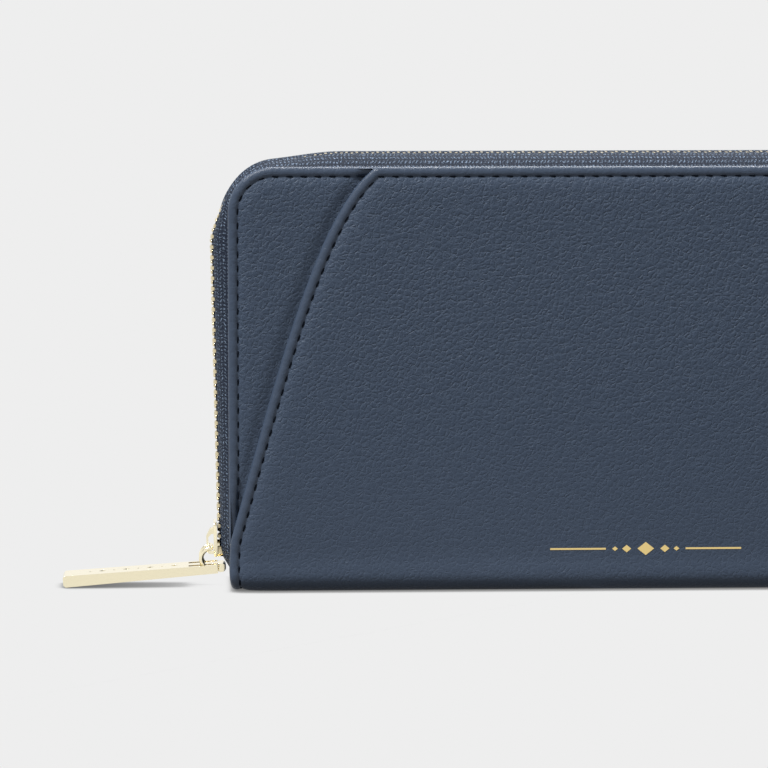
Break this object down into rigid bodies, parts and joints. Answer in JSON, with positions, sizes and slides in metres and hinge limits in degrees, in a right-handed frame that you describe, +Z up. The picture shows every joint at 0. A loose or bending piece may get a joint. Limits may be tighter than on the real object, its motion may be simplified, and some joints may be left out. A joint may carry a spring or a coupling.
{
  "type": "zip-around wallet",
  "caption": "Long zip-around wallet standing on its spine: stiffened leather covers that open outwards, metal zip, pull bar, card pockets and a zipped coin pocket.",
  "frame": {"origin": "middle of the flat underside of the spine, which the closed wallet stands on", "axes": "+X along the wallet to the right as the front cover is seen, +Y from the front cover towards the back cover, +Z up from the spine to the zip along the top edge"},
  "size_m": [0.2443, 0.0258, 0.1052],
  "materials": {
    "navy_leather": "matte pebbled",
    "navy_lining": "fine twill",
    "navy_smooth_leather": "smooth matte",
    "wadding": "felt",
    "stiffener": "pressed fibre board",
    "zip_tape": "woven twill",
    "thread": "twisted thread",
    "pale_gold": "polished",
    "zip_gold": "polished teeth",
    "coil": "matte nylon"
  },
  "bodies": {
    "spine": {"spine_leather": "navy_leather", "spine_lining": "navy_lining", "coin_pocket_front_wall": "navy_smooth_leather", "coin_pocket_back_wall": "navy_smooth_leather", "coin_pocket_left_end": "navy_lining", "coin_pocket_right_end": "navy_lining", "coin_pocket_bottom": "navy_lining", "coin_zip_front_tape": "zip_tape", "coin_zip_back_tape": "zip_tape", "coin_zip_front_coil": "coil", "coin_zip_back_coil": "coil", "coin_zip_stop": "zip_gold", "left_front_gusset": "navy_lining", "left_back_gusset": "navy_lining", "right_front_gusset": "navy_lining", "right_back_gusset": "navy_lining"},
    "front_cover": {"front_main_panel": "navy_leather", "front_corner_panel": "navy_leather", "front_wadding": "wadding", "front_board": "stiffener", "front_lining": "navy_lining", "front_edge_stitching": "thread", "seam_stitching": "thread", "front_zip_tape": "zip_tape", "front_zip_teeth": "zip_gold", "front_zip_stop": "zip_gold", "front_slip_pocket": "navy_lining", "front_card_panel_1": "navy_smooth_leather", "front_card_panel_2": "navy_smooth_leather", "front_card_panel_3": "navy_smooth_leather", "front_card_panel_4": "navy_smooth_leather"},
    "back_cover": {"back_panel": "navy_leather", "back_wadding": "wadding", "back_board": "stiffener", "back_lining": "navy_lining", "back_edge_stitching": "thread", "back_zip_tape": "zip_tape", "back_zip_teeth": "zip_gold", "back_zip_stop": "zip_gold", "zip_end_box": "zip_gold", "back_slip_pocket": "navy_lining", "back_phone_pocket": "navy_smooth_leather", "back_card_panel_1": "navy_smooth_leather", "back_card_panel_2": "navy_smooth_leather"},
    "main_slider": {"main_slider_body": "pale_gold"},
    "link": {"puller_link": "pale_gold"},
    "bar": {"puller_bar": "pale_gold"},
    "coin_slider": {"coin_slider_body": "pale_gold"},
    "coin_tab": {"coin_puller_tab": "pale_gold"}
  },
  "joints": [
    {"name": "front_cover_hinge", "type": "hinge", "parent": "spine", "child": "front_cover", "pos_m": [0, -0.0125, 0.0065], "axis": [1, 0, 0], "range_deg": [0, 45], "deforming": ["left_front_gusset", "right_front_gusset", "front_zip_stop", "front_zip_teeth", "back_zip_teeth"]},
    {"name": "back_cover_hinge", "type": "hinge", "parent": "spine", "child": "back_cover", "pos_m": [0, 0.0125, 0.0065], "axis": [-1, 0, 0], "range_deg": [0, 45], "deforming": ["left_back_gusset", "right_back_gusset", "front_zip_teeth", "back_zip_teeth", "front_zip_stop"]},
    {"name": "main_slider_slide", "type": "slide", "parent": "back_cover", "child": "main_slider", "axis": [-0.0214, 0, 0.9998], "range_m": [0, 0.06], "deforming": ["front_zip_teeth", "back_zip_teeth"]},
    {"name": "link_hinge", "type": "hinge", "parent": "main_slider", "child": "link", "pos_m": [-0.10429, 0, 0.0093], "axis": [0, 1, 0], "range_deg": [0, 40]},
    {"name": "bar_hinge", "type": "hinge", "parent": "link", "child": "bar", "pos_m": [-0.10309, 0, 0.0044], "axis": [0, 1, 0], "range_deg": [-80, 45]},
    {"name": "coin_slider_slide", "type": "slide", "parent": "spine", "child": "coin_slider", "axis": [1, 0, 0], "range_m": [0, 0.155], "deforming": ["coin_zip_front_coil", "coin_zip_back_coil"]},
    {"name": "coin_tab_hinge", "type": "hinge", "parent": "coin_slider", "child": "coin_tab", "pos_m": [-0.0786, 0, 0.084], "axis": [0, 1, 0], "range_deg": [-90, 0]}
  ]
}
